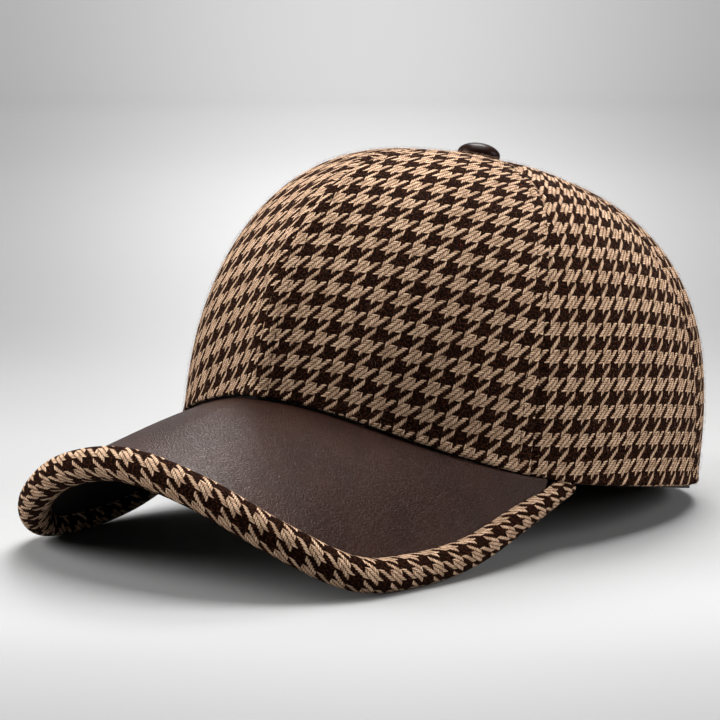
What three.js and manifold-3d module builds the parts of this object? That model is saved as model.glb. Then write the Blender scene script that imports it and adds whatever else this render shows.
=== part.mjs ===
// A six-panel cloth cap with a leather-topped visor, hollow and at life size.
// Units are millimetres, +Z is up and the front faces -Y. Right means +X. The origin is
// the middle of the cap's box, on the surface that the cap rests on.
import * as THREE from 'three';
import { mergeVertices } from 'three/addons/utils/BufferGeometryUtils.js';
import Module from 'manifold-3d';

const wasm = await Module();
wasm.setup();

// Small gap between neighbouring pieces
const CLEARANCE = 0.35;

// Crown: the outer cloth's smooth form, as a dome on an egg-shaped foot that leans back
const HALF_WIDTH = 81.45;
const FRONT_DEPTH = 99.4;
const BACK_DEPTH = 103.3;
const CROWN_HEIGHT = 107.4;
const LEAN = THREE.MathUtils.degToRad(9);
const AXIS_Y = 26.65;
const AXIS_LIFT = 18.75;
const TIP_BACK = 10.25;
const TOP_FALL_PER_MM = 0.00076;
const PLAN_POWER = { front: 1.92, back: 2.45 };
const PROFILE_POWER = { front: 2.52, side: 2.515, back: 2.71 };
const PROFILE_FULLNESS = { front: -0.011, side: -0.031, back: 0.062 };

// Flats beside the front seam, which leave it standing as a ridge
const FLAT_DEPTH = 0.05;
const FLAT_SPREAD = THREE.MathUtils.degToRad(17.4);

// Arch of the crown's lower edge over the visor
const ARCH_HEIGHT = 18.8;
const ARCH_SPAN = THREE.MathUtils.degToRad(81.75);

// Cloth panels, with their seams in degrees from the front at the foot, and the turn to the tip
const CLOTH = 2;
const SEAM_GAP = 0.34;
const PANEL_SWELL = { foot: 0.5, middle: 1.1 };
const SEAM_DIP = 0.45;
const HEM_ROLL = 0.35;
const TIP_HOLE = 2.7;
const FRONT_SEAM = { foot: 0, turn: 0 };
const SIDE_SEAM = { foot: 64.9, turn: 11.5 };
const BACK_SEAM = { foot: 121, turn: -4 };
const REAR_SEAM = { foot: 180, turn: 0 };
const PANEL_COLUMNS = 10;
const PANEL_ROWS = 15;

// Inner band, with how far its lower edge drops under the cloth's
const BAND_THICKNESS = 1.4;
const BAND_HEIGHT = 30;
const BAND_DROP = { front: 1.7, side: 0.3, back: 4.2 };
const BAND_COLUMNS = 64;
const BAND_ROWS = 3;

// Visor: rows along the middle of its rolled edge, from the front to the right end
const VISOR_EDGE = [
  { x: 0, y: -129.55, z: 38.6 },
  { x: 28.4, y: -126.45, z: 32.8 },
  { x: 52, y: -116.05, z: 19.7 },
  { x: 67.3, y: -98.55, z: 8 },
  { x: 72, y: -75.75, z: 5.4 },
  { x: 74.6, y: -49.25, z: 7.4 },
  { x: 75.2, y: -21.75, z: 15 },
  { x: 73.2, y: 5.25, z: 21.9 },
];
const VISOR_SPAN = THREE.MathUtils.degToRad(76);
const VISOR_BOW = 0.025;
const LEATHER = 1.4;
const BOARD = 2.5;
const SHEETS = LEATHER + CLEARANCE + BOARD;
const SHEET_END = { cover: 0.905, underside: 0.84 };
const SHEET_DROP = { front: 1, side: 0.7 };
const SHEET_INSET = { front: 0.8, side: 0 };
const SHEET_COLUMNS = 36;
const SHEET_ROWS = 7;

// Rolled edge of cloth, a C that holds both sheets
const ROLL_RADIUS = { front: 5.5, end: 4.6 };
const ROLL_BORE = 2.75;
const ROLL_COLUMNS = 46;
const ROLL_SIDES = 10;

// Button on the tip
const BUTTON_RADIUS = 7.6;
const BUTTON_HEIGHT = 5.2;
const BUTTON_BULGE = 1.2;
const BUTTON_FOOT = 6.7;
const SHANK_RADIUS = 2.3;
const WASHER = { radius: 5.5, thickness: 1.2 };
const BUTTON_SIDES = 26;
const BUTTON_STEPS = 7;

const v3 = (x, y, z) => new THREE.Vector3(x, y, z);
const { clamp, degToRad, lerp, smoothstep } = THREE.MathUtils;
const signedPower = (value, power) => Math.sign(value) * Math.abs(value) ** power;

// A value given at the front, side and back, blended with the cosine of the turn
function aroundCrown(table, cosine) {
  const toward = cosine > 0 ? table.front : table.back;
  return lerp(table.side, toward, cosine * cosine);
}

// Height of the crown's lower edge over its level foot
function archHeight(turn) {
  const share = clamp(Math.abs(turn) / ARCH_SPAN, 0, 1);
  return (ARCH_HEIGHT * (1 + Math.cos(Math.PI * share))) / 2;
}

// A point of the crown: turn 0 is the front, rise 0 the lower edge and rise PI/2 the tip
function crownPoint(turn, rise) {
  const across = Math.sin(turn);
  const ahead = Math.cos(turn);
  const front = ahead > 0;
  const plan = 2 / (front ? PLAN_POWER.front : PLAN_POWER.back);
  const depth = front ? FRONT_DEPTH : BACK_DEPTH;
  const power = 2 / aroundCrown(PROFILE_POWER, ahead);
  const fullness = 1 + aroundCrown(PROFILE_FULLNESS, ahead) * Math.sin(2 * rise);
  const reach = Math.max(Math.cos(rise), 1e-9) ** power * fullness;
  const climb = Math.max(Math.sin(rise), 0) ** power;
  const beside = Math.abs(Math.atan2(across, ahead)) / FLAT_SPREAD;
  const held = reach * (1 - FLAT_DEPTH * beside * Math.exp((1 - beside * beside) / 2));
  const x = HALF_WIDTH * signedPower(across, plan) * held;
  const y = TIP_BACK * (1 - Math.min(reach, 1)) - depth * signedPower(ahead, plan) * held;
  const level = lerp(archHeight(turn), CROWN_HEIGHT, climb);
  const z = level * (1 - TOP_FALL_PER_MM * y * climb);
  return v3(x, y, z).applyAxisAngle(v3(1, 0, 0), -LEAN).add(v3(0, AXIS_Y, AXIS_LIFT));
}

// Level direction along the cloth, to the right at the front
function crownAcross(turn, rise) {
  const step = 2e-3;
  return crownPoint(turn + step, rise).sub(crownPoint(turn - step, rise)).normalize();
}

// Unit normal of the crown, pointing out
function crownNormal(turn, rise) {
  const step = 2e-3;
  const low = crownPoint(turn, Math.max(rise - step, step / 2));
  const high = crownPoint(turn, Math.min(rise + step, Math.PI / 2 - step / 2));
  return crownAcross(turn, rise).cross(high.sub(low)).normalize();
}

// Down along the wall at the lower edge
function edgeDown(turn) {
  return crownPoint(turn, 0.001).sub(crownPoint(turn, 0.1)).normalize();
}

// The rise at a share of the way up, spread evenly over the profile's length
function riseAt(share) {
  const power = PROFILE_POWER.side / 2;
  const up = share ** power;
  return ((Math.PI / 2) * up) / (up + (1 - share) ** power);
}

// The rise at a height over the foot, near the lower edge
function riseAtHeight(turn, height) {
  const power = aroundCrown(PROFILE_POWER, Math.cos(turn)) / 2;
  return Math.asin((Math.max(height, 0) / (CROWN_HEIGHT - archHeight(turn))) ** power);
}

// The rise at which a panel's tip clears the button's shank
function tipRise(turn) {
  const edge = crownPoint(turn, 0);
  const tip = crownPoint(turn, Math.PI / 2);
  const reach = TIP_HOLE / Math.hypot(edge.x - tip.x, edge.y - tip.y);
  return Math.acos(reach ** (aroundCrown(PROFILE_POWER, Math.cos(turn)) / 2));
}

// A body from points and triangles, turned so that its faces point out
function closedGeometry(positions, faces) {
  const corner = (index) => new THREE.Vector3().fromArray(positions, 3 * index);
  let volume = 0;
  for (let face = 0; face < faces.length; face += 3) {
    const [a, b, c] = [corner(faces[face]), corner(faces[face + 1]), corner(faces[face + 2])];
    volume += a.dot(b.cross(c));
  }
  const geometry = new THREE.BufferGeometry();
  geometry.setAttribute('position', new THREE.Float32BufferAttribute(positions, 3));
  geometry.setIndex(volume > 0 ? faces : faces.reverse());
  return geometry;
}

// A closed wall between two faces, each a function of the shares across and up; a ring
// joins its first column to its last
function wallGeometry(outer, inner, rows, columns, ring) {
  const positions = [];
  const faces = [];
  const stride = ring ? columns : columns + 1;
  for (const face of [outer, inner]) {
    for (let row = 0; row <= rows; row += 1) {
      for (let column = 0; column < stride; column += 1) {
        positions.push(...face(column / columns, row / rows).toArray());
      }
    }
  }
  const at = (face, row, column) => (face * (rows + 1) + row) * stride + (column % stride);
  const quad = (a, b, c, d) => faces.push(a, b, c, a, c, d);
  for (let row = 0; row < rows; row += 1) {
    for (let column = 0; column < columns; column += 1) {
      const next = column + 1;
      const above = row + 1;
      quad(at(0, row, column), at(0, row, next), at(0, above, next), at(0, above, column));
      quad(at(1, above, column), at(1, above, next), at(1, row, next), at(1, row, column));
    }
  }
  for (let column = 0; column < columns; column += 1) {
    const next = column + 1;
    quad(at(1, 0, column), at(1, 0, next), at(0, 0, next), at(0, 0, column));
    quad(at(0, rows, column), at(0, rows, next), at(1, rows, next), at(1, rows, column));
  }
  for (let row = 0; row < rows && !ring; row += 1) {
    const above = row + 1;
    quad(at(0, row, 0), at(0, above, 0), at(1, above, 0), at(1, row, 0));
    quad(at(1, row, columns), at(1, above, columns), at(0, above, columns), at(0, row, columns));
  }
  return closedGeometry(positions, faces);
}

function toSolid(geometry) {
  const merged = mergeVertices(geometry, 1e-4);
  const vertProperties = new Float32Array(merged.getAttribute('position').array);
  const triVerts = new Uint32Array(merged.getIndex().array);
  return new wasm.Manifold(new wasm.Mesh({ numProp: 3, vertProperties, triVerts }));
}

function fromSolid(solid) {
  const mesh = solid.getMesh();
  const geometry = new THREE.BufferGeometry();
  geometry.setAttribute('position', new THREE.Float32BufferAttribute(mesh.vertProperties, 3));
  geometry.setIndex(Array.from(mesh.triVerts));
  return geometry;
}

// A seam's turn in radians at a rise
function seamTurn(seam, rise) {
  return degToRad(seam.foot + seam.turn * Math.sin(rise) ** 2);
}

// A crown panel between two seams: swelled in its middle, drawn in at its seams, rolled at its hem
function panelGeometry(from, to) {
  const middle = (seamTurn(from, 1) + seamTurn(to, 1)) / 2;
  const place = (across, share, depth) => {
    const free = riseAt(share);
    const turn = lerp(seamTurn(from, free), seamTurn(to, free), across);
    const rise = Math.min(free, tipRise(share > 0.9 ? turn : middle));
    const body = lerp(PANEL_SWELL.foot, PANEL_SWELL.middle, smoothstep(share, 0, 0.2));
    const fading = smoothstep(1 - share, 0, 0.35);
    const swell = (body * Math.sin(Math.PI * across) - SEAM_DIP) * fading;
    const hem = depth > 0 ? 0 : HEM_ROLL * (1 - smoothstep(share, 0, 0.03));
    return crownPoint(turn, rise)
      .addScaledVector(crownNormal(turn, rise), swell + hem - depth)
      .addScaledVector(crownAcross(turn, rise), (SEAM_GAP / 2) * (1 - 2 * across));
  };
  const outer = (across, share) => place(across, share, 0);
  const inner = (across, share) => place(across, share, CLOTH);
  return wallGeometry(outer, inner, PANEL_ROWS, PANEL_COLUMNS, false);
}

// How far the inner band's lower edge drops under the cloth
function bandDrop(turn) {
  const away = Math.abs(turn);
  const ahead = lerp(BAND_DROP.front, BAND_DROP.side, smoothstep(away, 0, VISOR_SPAN));
  return lerp(ahead, BAND_DROP.back, smoothstep(away, VISOR_SPAN * 1.15, Math.PI));
}

// Inner band: a strip inside the cloth that shows under it behind the visor and stands on
// its flattened back
function bandGeometry() {
  const place = (around, share, depth) => {
    const turn = lerp(-Math.PI, Math.PI, around);
    const height = lerp(-bandDrop(turn), BAND_HEIGHT, share);
    const rise = riseAtHeight(turn, height);
    const point = crownPoint(turn, rise)
      .addScaledVector(edgeDown(turn), Math.max(-height, 0))
      .addScaledVector(crownNormal(turn, rise), -depth);
    point.z = Math.max(point.z, 0);
    return point;
  };
  const face = CLOTH + SEAM_DIP + CLEARANCE;
  const outer = (around, share) => place(around, share, face);
  const inner = (around, share) => place(around, share, face + BAND_THICKNESS);
  return wallGeometry(outer, inner, BAND_ROWS, BAND_COLUMNS, true);
}

// The middle of the visor's rolled edge, from -1 at the left end over 0 to 1 at the right
const rightHalf = VISOR_EDGE.map(({ x, y, z }) => v3(x, y, z));
const leftHalf = rightHalf.slice(1).reverse().map(({ x, y, z }) => v3(-x, y, z));
const edgeCurve = new THREE.CatmullRomCurve3([...leftHalf, ...rightHalf], false, 'catmullrom', 0.5);
const edgePoint = (side) => edgeCurve.getPoint((side + 1) / 2);

function edgeTangent(side) {
  const step = 1e-3;
  const low = edgePoint(Math.max(side - step, -1));
  return edgePoint(Math.min(side + step, 1)).sub(low).normalize();
}

// Where the visor's top meets the crown, just under the cloth's lower edge
function junctionPoint(side) {
  const turn = side * VISOR_SPAN;
  const sideways = side * side;
  const inset = lerp(SHEET_INSET.front, SHEET_INSET.side, sideways);
  const drop = lerp(SHEET_DROP.front, SHEET_DROP.side, sideways);
  return crownPoint(turn, 0)
    .addScaledVector(crownNormal(turn, 0), -inset)
    .addScaledVector(edgeDown(turn), drop);
}

// At the rolled edge: into the visor, in the direction given, and up from its sheets
function turnedFrame(side, toward) {
  const tangent = edgeTangent(side);
  const inward = toward.clone().addScaledVector(tangent, -toward.dot(tangent)).normalize();
  return { inward, up: tangent.clone().cross(inward) };
}

// The edge's frame, and the middle of the sheets' other end, which hangs under the crown
function edgeFrame(side) {
  const held = clamp(side, -SHEET_END.cover, SHEET_END.cover);
  const edge = edgePoint(held);
  const middle = junctionPoint(held);
  const rough = turnedFrame(held, middle.clone().sub(edge));
  middle.addScaledVector(rough.up, -SHEETS / 2);
  return { middle, ...turnedFrame(side, middle.clone().sub(edge)) };
}

// A point of the visor at a depth under its top; share 0 is at the crown and 1 at the edge
function visorPoint(side, share, depth) {
  const { up, middle } = edgeFrame(side);
  const edge = edgePoint(side);
  const bow = VISOR_BOW * middle.distanceTo(edge) * 6.75 * share * (1 - share) ** 2;
  return middle.lerp(edge, share).addScaledVector(up, SHEETS / 2 + bow - depth);
}

// A sheet of the visor between two depths under its top
function sheetGeometry(top, bottom, end) {
  const outer = (across, share) => visorPoint(lerp(-end, end, across), share, top);
  const inner = (across, share) => visorPoint(lerp(-end, end, across), share, bottom);
  return wallGeometry(outer, inner, SHEET_ROWS, SHEET_COLUMNS, false);
}

// The room of the crown and the head near the lower edge, kept clear of the rolled edge's ends
function crownRoom() {
  const columns = 72;
  const rises = [0, 0.12, 0.3];
  const { y } = crownPoint(0, Math.PI / 2);
  const positions = [0, y, AXIS_LIFT];
  const faces = [];
  for (const rise of rises) {
    for (let column = 0; column < columns; column += 1) {
      const turn = (2 * Math.PI * column) / columns;
      const point = crownPoint(turn, rise);
      point.addScaledVector(crownNormal(turn, rise), CLEARANCE + HEM_ROLL);
      const drop = rise > 0 ? 0 : BAND_DROP.side + CLEARANCE;
      positions.push(...point.addScaledVector(edgeDown(turn), drop).toArray());
    }
  }
  positions.push(0, y, AXIS_LIFT + BAND_HEIGHT);
  const last = positions.length / 3 - 1;
  for (let column = 0; column < columns; column += 1) {
    const next = (column + 1) % columns;
    faces.push(0, 1 + next, 1 + column);
    for (let ring = 0; ring < rises.length - 1; ring += 1) {
      const low = 1 + ring * columns;
      const high = low + columns;
      faces.push(low + column, low + next, high + next, low + column, high + next, high + column);
    }
    const top = 1 + (rises.length - 1) * columns;
    faces.push(last, top + column, top + next);
  }
  return toSolid(closedGeometry(positions, faces));
}

// Rolled edge: its lips lie on both sheets, and its ends are cut where the crown sits on them
function bindingGeometry() {
  const lipHeight = SHEETS / 2 + CLEARANCE;
  const place = (across, share, radiusAt) => {
    const side = lerp(-1, 1, across);
    const radius = radiusAt(Math.abs(side));
    const { inward, up } = edgeFrame(side);
    const lip = Math.asin(lipHeight / radius);
    const angle = lerp(lip, 2 * Math.PI - lip, share);
    return edgePoint(side)
      .addScaledVector(inward, radius * Math.cos(angle))
      .addScaledVector(up, radius * Math.sin(angle));
  };
  const rollRadius = (away) => lerp(ROLL_RADIUS.front, ROLL_RADIUS.end, smoothstep(away, 0.5, 1));
  const outer = (across, share) => place(across, share, rollRadius);
  const inner = (across, share) => place(across, share, () => ROLL_BORE);
  const roll = wallGeometry(outer, inner, ROLL_SIDES, ROLL_COLUMNS, false);
  return fromSolid(toSolid(roll).subtract(crownRoom()));
}

// Normal of the flat round the tip that the button sits on
function tipNormal() {
  const rise = Math.PI / 2 - 0.04;
  const across = crownPoint(Math.PI / 2, rise).sub(crownPoint(-Math.PI / 2, rise));
  const back = crownPoint(Math.PI, rise).sub(crownPoint(0, rise));
  return across.cross(back).normalize();
}

// Button: a dome on a shank through the panels' tips, with a washer inside the crown
function buttonGeometry() {
  const foot = 2 * CLEARANCE;
  const washerTop = -CLOTH - foot;
  const outline = [
    new THREE.Vector2(0, washerTop - WASHER.thickness),
    new THREE.Vector2(WASHER.radius, washerTop - WASHER.thickness),
    new THREE.Vector2(WASHER.radius, washerTop),
    new THREE.Vector2(SHANK_RADIUS, washerTop),
    new THREE.Vector2(SHANK_RADIUS, foot),
    new THREE.Vector2(BUTTON_FOOT, foot),
  ];
  for (let step = 0; step <= BUTTON_STEPS; step += 1) {
    const angle = lerp(-0.35, Math.PI / 2, step / BUTTON_STEPS);
    const radius = step === BUTTON_STEPS ? 0 : BUTTON_RADIUS * Math.cos(angle);
    const height = foot + BUTTON_BULGE + (BUTTON_HEIGHT - BUTTON_BULGE) * Math.sin(angle);
    outline.push(new THREE.Vector2(radius, height));
  }
  const geometry = new THREE.LatheGeometry(outline, BUTTON_SIDES);
  geometry.deleteAttribute('normal');
  geometry.deleteAttribute('uv');
  return mergeVertices(geometry.rotateX(Math.PI / 2), 1e-4);
}

const cloth = new THREE.MeshStandardMaterial({ color: 0x8a6d57, roughness: 0.95, metalness: 0 });
const leather = new THREE.MeshStandardMaterial({ color: 0x35221c, roughness: 0.5, metalness: 0 });
const lining = new THREE.MeshStandardMaterial({ color: 0x120d0c, roughness: 0.9, metalness: 0 });
const gloss = new THREE.MeshStandardMaterial({ color: 0x1e0f0c, roughness: 0.2, metalness: 0 });

const cap = new THREE.Group();
function add(name, geometry, material) {
  const mesh = new THREE.Mesh(geometry, material);
  mesh.name = name;
  cap.add(mesh);
  return mesh;
}

const mirrored = ({ foot, turn }) => ({ foot: -foot, turn: -turn });
const panels = [
  { place: 'front', from: FRONT_SEAM, to: SIDE_SEAM },
  { place: 'side', from: SIDE_SEAM, to: BACK_SEAM },
  { place: 'back', from: BACK_SEAM, to: REAR_SEAM },
];
for (const { place, from, to } of panels) {
  add(`crown_panel_${place}_right`, panelGeometry(from, to), cloth);
  add(`crown_panel_${place}_left`, panelGeometry(mirrored(to), mirrored(from)), cloth);
}
add('sweatband', bandGeometry(), lining);
add('visor_cover', sheetGeometry(0, LEATHER, SHEET_END.cover), leather);
add('visor_underside', sheetGeometry(SHEETS - BOARD, SHEETS, SHEET_END.underside), lining);
add('visor_binding', bindingGeometry(), cloth);

const button = add('top_button', buttonGeometry(), gloss);
button.position.copy(crownPoint(0, Math.PI / 2));
button.quaternion.setFromUnitVectors(v3(0, 0, 1), tipNormal());

export default cap;
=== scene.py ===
import math

import bpy
import numpy as np
from mathutils import Matrix, Vector


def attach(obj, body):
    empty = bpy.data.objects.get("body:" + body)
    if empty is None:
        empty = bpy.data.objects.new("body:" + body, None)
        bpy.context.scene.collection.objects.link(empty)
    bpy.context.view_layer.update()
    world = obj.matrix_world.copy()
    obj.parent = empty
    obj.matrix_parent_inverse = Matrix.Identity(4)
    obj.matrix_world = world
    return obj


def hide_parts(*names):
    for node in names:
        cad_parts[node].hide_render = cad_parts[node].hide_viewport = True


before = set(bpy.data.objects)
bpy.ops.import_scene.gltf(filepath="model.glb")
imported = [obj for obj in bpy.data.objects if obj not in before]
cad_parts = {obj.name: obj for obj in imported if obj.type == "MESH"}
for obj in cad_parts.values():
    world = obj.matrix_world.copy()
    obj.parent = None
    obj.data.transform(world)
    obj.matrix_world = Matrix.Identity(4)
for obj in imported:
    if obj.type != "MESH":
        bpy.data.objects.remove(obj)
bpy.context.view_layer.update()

# The shape is worked out in millimetres, in the part's frame, and scaled when a mesh is made.
MM = 0.001

# Crown
CLEARANCE = 0.35
HALF_WIDTH = 81.45
FRONT_DEPTH = 99.4
BACK_DEPTH = 103.3
CROWN_HEIGHT = 107.4
LEAN = math.radians(9)
AXIS_Y = 26.65
AXIS_LIFT = 18.75
TIP_BACK = 10.25
TOP_FALL_PER_MM = 0.00076
PLAN_POWER = {"front": 1.92, "back": 2.45}
PROFILE_POWER = {"front": 2.52, "side": 2.515, "back": 2.71}
PROFILE_FULLNESS = {"front": -0.011, "side": -0.031, "back": 0.062}
FLAT_DEPTH = 0.05
FLAT_SPREAD = math.radians(17.4)
ARCH_HEIGHT = 18.8
ARCH_SPAN = math.radians(81.75)
CLOTH = 2.0
PANEL_SWELL = {"foot": 0.5, "middle": 1.1}
SEAM_DIP = 0.45
HEM_ROLL = 0.35
TIP_HOLE = 2.7
FRONT_SEAM = {"foot": 0.0, "turn": 0.0}
SIDE_SEAM = {"foot": 64.9, "turn": 11.5}
BACK_SEAM = {"foot": 121.0, "turn": -4.0}
REAR_SEAM = {"foot": 180.0, "turn": 0.0}

# Inner band; its drop grows toward the back from past the visor's end
BAND_THICKNESS = 1.4
BAND_HEIGHT = 30.0
BAND_DROP = {"front": 1.7, "side": 0.3, "back": 4.2}
BAND_PAST_VISOR = 1.15
BAND_COLUMNS = 220
BAND_ROWS = 16

# Visor: the middle of its rolled edge, right half
VISOR_EDGE = [
    (0, -129.55, 38.6),
    (28.4, -126.45, 32.8),
    (52, -116.05, 19.7),
    (67.3, -98.55, 8),
    (72, -75.75, 5.4),
    (74.6, -49.25, 7.4),
    (75.2, -21.75, 15),
    (73.2, 5.25, 21.9),
]
VISOR_SPAN = math.radians(76)
VISOR_BOW = 0.025
LEATHER = 1.4
BOARD = 2.5
SHEETS = LEATHER + CLEARANCE + BOARD
SHEET_END = {"cover": 0.905, "underside": 0.84}
SHEET_DROP = {"front": 1.0, "side": 0.7}
SHEET_INSET = {"front": 0.8, "side": 0.0}
ROLL_RADIUS = {"front": 5.5, "end": 4.6}
ROLL_NARROWS_FROM = 0.5
ROLL_BORE = 2.75
ROLL_STEPS = 421
ROLL_SIDES = 64
SHEET_COLUMNS = 181
SHEET_ROWS = 60

# Button
BUTTON_RADIUS = 7.6
BUTTON_HEIGHT = 5.2
BUTTON_BULGE = 1.2
BUTTON_FOOT = 6.7
SHANK_RADIUS = 2.3
WASHER = {"radius": 5.5, "thickness": 1.2}
BUTTON_TUCK = -0.35
BUTTON_RINGS = 24
BUTTON_SIDES = 72

# Cloth as it is sewn: how it rolls into a seam, how round its hem is, and where the
# topstitching runs beside a seam. It starts above the hem and ends where a panel is
# narrower than STITCH_ROOM times its way from the seam
SEAM_ROLL = {"depth": 0.8, "width": 1.5}
OPEN_SEAM = 0.06
HEM_RADIUS = 1.0
STITCH_AWAY = 5.2
STITCH_ROOM = 3.2
STITCH_GROOVE = {"depth": 0.18, "width": 0.8}
STITCH = {"pitch": 3.4, "length": 2.9, "thickness": 0.34}
FIBRE = {"per_mm2": 0.28, "length": 2.2, "shortest": 0.5, "thickness": 0.018}
FIBRE_BEND = {"Start": (0, 0, -0.06), "Middle": (0.15, 0.25, 0.62), "End": (0.9, 0.0, 0.34)}
FIBRE_SEED = {"place": 7, "spin": 3, "length": 11}

# Rows and columns of a panel's face, with its hem, and the shares of its height over which
# the swell comes in at the foot, all relief goes at the tip, a seam's roll ends before the
# tip, the hem's roll ends, and the tip's hole trims the rows
PANEL_ROWS = 150
PANEL_COLUMNS = 100
ROW_CROWDING = 1.02
COLUMN_CROWDING = 0.6
HEM_STEPS = 6
HEM_TOP = 0.0075
FADE = {"foot": 0.2, "tip": 0.35, "seam": 0.1, "hem": 0.03, "trim": 0.9}

# Where the houndstooth lies on each panel, in repeats: terms of 1, x, y, x squared and y
# squared, with x the way across from the panel's middle and y the way up from its lower edge,
# both in mm
CHECK_LAY = {
    "front_right": {"u": (3.3513, 0.12474, -0.013034, -4.6e-5, 1.06e-4),
                    "v": (8.9539, 0.00781, -0.11823, -5.6e-5, 7.1e-5)},
    "side_right": {"u": (1.9975, 0.12209, -0.011533, -1.13e-4, -5.7e-5),
                   "v": (4.7513, 0.00418, -0.10928, -9.8e-5, 2e-6)},
    "back_right": {"u": (0.3, 0.1215, 0.0, 0.0, 0.0),
                   "v": (4.6, 0.0, -0.1120, -8e-5, 0.0)},
    "front_left": {"u": (-1.018, 0.132, 0.0095, 0.0, -1.8e-4),
                   "v": (-0.255, -0.0211, -0.1185, 0.0, 1.4e-4)},
    "side_left": {"u": (0.1, 0.1220, 0.0115, 1.1e-4, 5e-5),
                  "v": (4.9, -0.004, -0.1100, -9e-5, 0.0)},
    "back_left": {"u": (0.6, 0.1215, 0.0, 0.0, 0.0),
                  "v": (4.4, 0.0, -0.1120, -8e-5, 0.0)},
}

# The same on the rolled edge: the angle of a row of stars and the step to the next row in
# degrees, and along it a star's place, the repeat and the shift from row to row in mm
ROLL_CHECK = {"star_row": 121.0, "row_step": 75.0, "star_along": 14.0, "repeat": 9.55,
              "row_shift": 0.8, "stretch": 2.8e-5}

# Studio, in metres and degrees
CAMERA_PLACE = (0.6763, -0.8372, 0.2160)
CAMERA_AZIMUTH = math.radians(39.348)
CAMERA_ELEVATION = math.radians(8.41)
CAMERA_LENS = 158.33
SENSOR_WIDTH = 36.0
NEAREST = 0.05
STAGE = {"front": -3.0, "near": -0.6, "far": 0.6, "wall": 2.2, "bend": 0.9, "height": 4.0,
         "half_width": 4.0}

# The floor's painted light and shade: its grey by the way back from the cap, on the camera's
# middle line and beside it, where the view's edge fans out from the camera
PAINTED_LIGHT_FAN = {"start": 1.08, "least": 0.4, "edge": 0.14}
PAINTED_LIGHT_MIDDLE = [(-0.32, 0.18), (-0.20, 0.255), (-0.12, 0.30), (0.05, 0.26), (0.5, 0.235),
                (0.84, 0.27), (1.31, 0.335), (1.96, 0.40), (2.4, 0.385), (3.1, 0.35)]
PAINTED_LIGHT_EDGE = [(-0.32, 0.17), (-0.20, 0.235), (-0.12, 0.285), (0.05, 0.25), (0.34, 0.15),
              (0.52, 0.125), (0.84, 0.135), (1.31, 0.17), (1.96, 0.235), (3.1, 0.26)]

# Name, azimuth, elevation, distance, size and power of each softbox
CAP_MIDDLE = Vector((0, 0, 0.06))
SOFTBOXES = [
    ("softbox_behind", -149, 45, 1.5, (0.6, 0.45), 24.0),
    ("softbox_above", -175, 80, 1.4, (1.1, 1.1), 46.0),
    ("softbox_left", -54, 27, 1.6, (0.9, 1.0), 38.0),
    ("softbox_right", 134, 17, 1.7, (0.8, 0.9), 24.0),
    ("softbox_front", 10, 45, 2.2, (0.8, 0.8), 2.0),
]
WALL_LAMP = {"back": 1.9, "height": 1.5, "size": (1.2, 0.5), "power": 38.0,
             "target_back": 3.1, "target_height": 0.2}
ROOM_LIGHT = 0.06


def blend(low, high, share):
    return low + (high - low) * share


def smooth(value, low, high):
    share = np.clip((np.asarray(value, float) - low) / (high - low), 0, 1)
    return share * share * (3 - 2 * share)


def signed_power(value, power):
    return np.sign(value) * np.abs(value) ** power


def unit(vectors):
    return vectors / np.linalg.norm(vectors, axis=-1, keepdims=True)


def around_crown(table, cosine):
    toward = np.where(cosine > 0, table["front"], table["back"])
    return table["side"] + (toward - table["side"]) * cosine ** 2


def arch_height(turn):
    share = np.clip(np.abs(turn) / ARCH_SPAN, 0, 1)
    return ARCH_HEIGHT * (1 + np.cos(np.pi * share)) / 2


def crown_point(turn, rise):
    """A point of the crown: turn 0 is the front, rise 0 the lower edge and PI/2 the tip."""
    turn, rise = np.broadcast_arrays(np.asarray(turn, float), np.asarray(rise, float))
    across = np.sin(turn)
    ahead = np.cos(turn)
    front = ahead > 0
    plan = 2 / np.where(front, PLAN_POWER["front"], PLAN_POWER["back"])
    depth = np.where(front, FRONT_DEPTH, BACK_DEPTH)
    power = 2 / around_crown(PROFILE_POWER, ahead)
    fullness = 1 + around_crown(PROFILE_FULLNESS, ahead) * np.sin(2 * rise)
    reach = np.maximum(np.cos(rise), 1e-9) ** power * fullness
    climb = np.maximum(np.sin(rise), 0) ** power
    beside = np.abs(np.arctan2(across, ahead)) / FLAT_SPREAD
    held = reach * (1 - FLAT_DEPTH * beside * np.exp((1 - beside ** 2) / 2))
    x = HALF_WIDTH * signed_power(across, plan) * held
    y = TIP_BACK * (1 - np.minimum(reach, 1)) - depth * signed_power(ahead, plan) * held
    z = blend(arch_height(turn), CROWN_HEIGHT, climb) * (1 - TOP_FALL_PER_MM * y * climb)
    c, s = math.cos(LEAN), math.sin(LEAN)
    return np.stack([x, c * y + s * z + AXIS_Y, c * z - s * y + AXIS_LIFT], -1)


CROWN_STEP = 2e-3


def crown_across(turn, rise):
    return unit(crown_point(turn + CROWN_STEP, rise) - crown_point(turn - CROWN_STEP, rise))


def crown_normal(turn, rise):
    margin = CROWN_STEP / 2
    low = crown_point(turn, np.maximum(rise - CROWN_STEP, margin))
    high = crown_point(turn, np.minimum(rise + CROWN_STEP, np.pi / 2 - margin))
    return unit(np.cross(crown_across(turn, rise), high - low))


def edge_down(turn):
    low, high = 0.001, 0.1
    return unit(crown_point(turn, low) - crown_point(turn, high))


def rise_at(share):
    """The rise at a share of the way up, so that rows lie about evenly on the cloth."""
    power = PROFILE_POWER["side"] / 2
    up = share ** power
    return (np.pi / 2) * up / (up + (1 - share) ** power)


def rise_at_height(turn, height):
    power = around_crown(PROFILE_POWER, np.cos(turn)) / 2
    return np.arcsin((np.maximum(height, 0) / (CROWN_HEIGHT - arch_height(turn))) ** power)


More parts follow.
